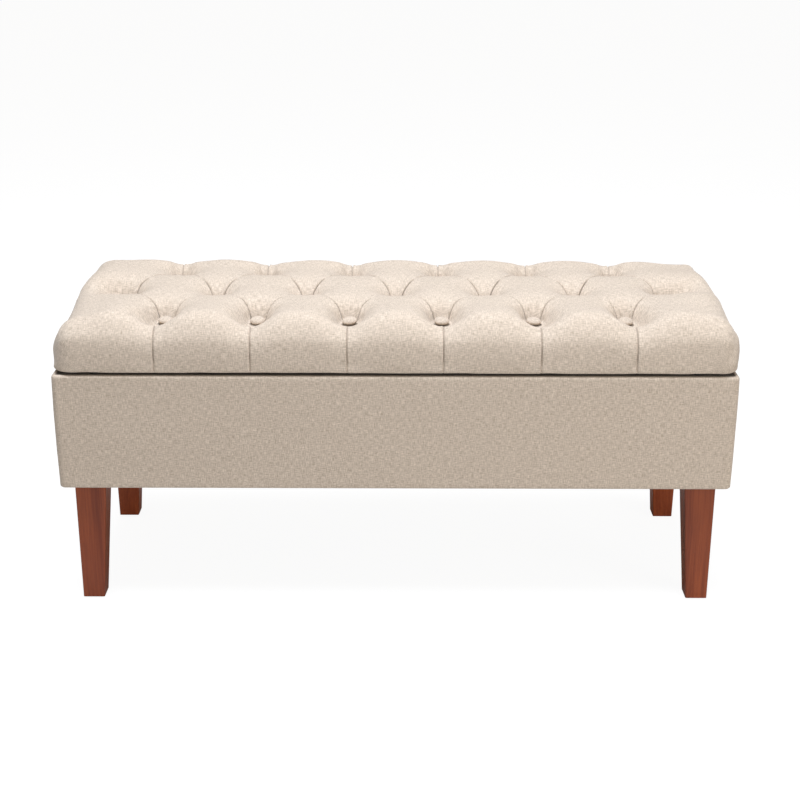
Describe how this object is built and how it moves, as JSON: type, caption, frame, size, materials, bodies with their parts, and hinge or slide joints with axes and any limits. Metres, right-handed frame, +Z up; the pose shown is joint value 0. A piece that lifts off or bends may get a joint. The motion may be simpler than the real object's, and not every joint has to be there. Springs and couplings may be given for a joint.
{
  "type": "storage ottoman bench",
  "caption": "Fabric-upholstered bench on tapered wood legs, with a button-tufted lid on butt hinges and folding stays over a storage box.",
  "frame": {"origin": "on the floor under the middle of the bench, at the centre of its footprint", "axes": "+X to the bench's right end as seen from its front, +Y towards the rear, where the hinges are, +Z up"},
  "size_m": [1.07, 0.4, 0.49],
  "materials": {
    "linen": "heathered beige linen-look plain weave, matt",
    "button_linen": "the same linen stretched over button shells",
    "foam": null,
    "nonwoven": "black spunbond dust cloth",
    "lining": "black spunbond lining",
    "twine": "waxed upholstery twine",
    "plywood": "unfinished birch plywood",
    "pine": "unfinished sawn pine",
    "stained_wood": "reddish-brown walnut stain under satin lacquer",
    "zinc_steel": "zinc-plated steel",
    "nickel_steel": "nickel-plated pressed steel, satin",
    "glide_plastic": "black nylon on a steel nail",
    "bumper_rubber": "black rubber pad"
  },
  "bodies": {
    "base": {"front_panel": "plywood", "rear_panel": "plywood", "left_end_panel": "plywood", "right_end_panel": "plywood", "bottom_panel": "plywood", "front_cleat": "pine", "rear_cleat": "pine", "corner_block_front_left": "pine", "corner_block_front_right": "pine", "corner_block_rear_left": "pine", "corner_block_rear_right": "pine", "front_padding": "foam", "rear_padding": "foam", "left_end_padding": "foam", "right_end_padding": "foam", "base_cover": "linen", "base_lining": "lining", "dust_cover": "nonwoven", "leg_front_left": "stained_wood", "leg_front_right": "stained_wood", "leg_rear_left": "stained_wood", "leg_rear_right": "stained_wood", "leg_bolts": "zinc_steel", "tee_nuts": "zinc_steel", "leg_glides": "glide_plastic", "panel_screws": "zinc_steel", "hinge_base_leaf_left": "nickel_steel", "hinge_base_leaf_right": "nickel_steel", "hinge_pin_left": "zinc_steel", "hinge_pin_right": "zinc_steel", "hinge_base_screws": "zinc_steel", "stay_base_bracket_left": "nickel_steel", "stay_base_bracket_right": "nickel_steel", "stay_base_pivot_left": "zinc_steel", "stay_base_pivot_right": "zinc_steel", "stay_base_screws": "zinc_steel"},
    "lid": {"lid_board": "plywood", "seat_foam": "foam", "seat_cover": "linen", "lid_lining": "lining", "buttons_front_row": "button_linen", "buttons_middle_row": "button_linen", "buttons_rear_row": "button_linen", "button_twines": "twine", "hinge_lid_leaf_left": "nickel_steel", "hinge_lid_leaf_right": "nickel_steel", "hinge_lid_screws": "zinc_steel", "stay_lid_bracket_left": "nickel_steel", "stay_lid_bracket_right": "nickel_steel", "stay_lid_pivot_left": "zinc_steel", "stay_lid_pivot_right": "zinc_steel", "stay_lid_screws": "zinc_steel", "lid_bumpers": "bumper_rubber"},
    "left_lower_arm": {"stay_lower_arm_left": "nickel_steel", "stay_knee_pivot_left": "zinc_steel"},
    "right_lower_arm": {"stay_lower_arm_right": "nickel_steel", "stay_knee_pivot_right": "zinc_steel"},
    "left_upper_arm": {"stay_upper_arm_left": "nickel_steel"},
    "right_upper_arm": {"stay_upper_arm_right": "nickel_steel"}
  },
  "joints": [
    {"name": "lid_hinge", "type": "hinge", "parent": "base", "child": "lid", "pos_m": [0, 0.1975, 0.3975], "axis": [-1, 0, 0], "range_deg": [0, 95]},
    {"name": "left_stay_base_pivot", "type": "hinge", "parent": "base", "child": "left_lower_arm", "pos_m": [-0.5095, 0.1616, 0.27255], "axis": [-1, 0, 0], "range_deg": [-1, 96]},
    {"name": "left_stay_knee", "type": "hinge", "parent": "left_lower_arm", "child": "left_upper_arm", "pos_m": [-0.5095, 0.03191, 0.26355], "axis": [-1, 0, 0], "range_deg": [-96, 1]},
    {"name": "right_stay_base_pivot", "type": "hinge", "parent": "base", "child": "right_lower_arm", "pos_m": [0.5095, 0.1616, 0.27255], "axis": [-1, 0, 0], "range_deg": [-1, 96]},
    {"name": "right_stay_knee", "type": "hinge", "parent": "right_lower_arm", "child": "right_upper_arm", "pos_m": [0.5095, 0.03191, 0.26355], "axis": [-1, 0, 0], "range_deg": [-96, 1]}
  ],
  "couplings": [
    {"joint": "left_stay_base_pivot", "follows": "lid_hinge", "ratio": 1},
    {"joint": "left_stay_knee", "follows": "lid_hinge", "ratio": -1},
    {"joint": "right_stay_base_pivot", "follows": "lid_hinge", "ratio": 1},
    {"joint": "right_stay_knee", "follows": "lid_hinge", "ratio": -1}
  ]
}
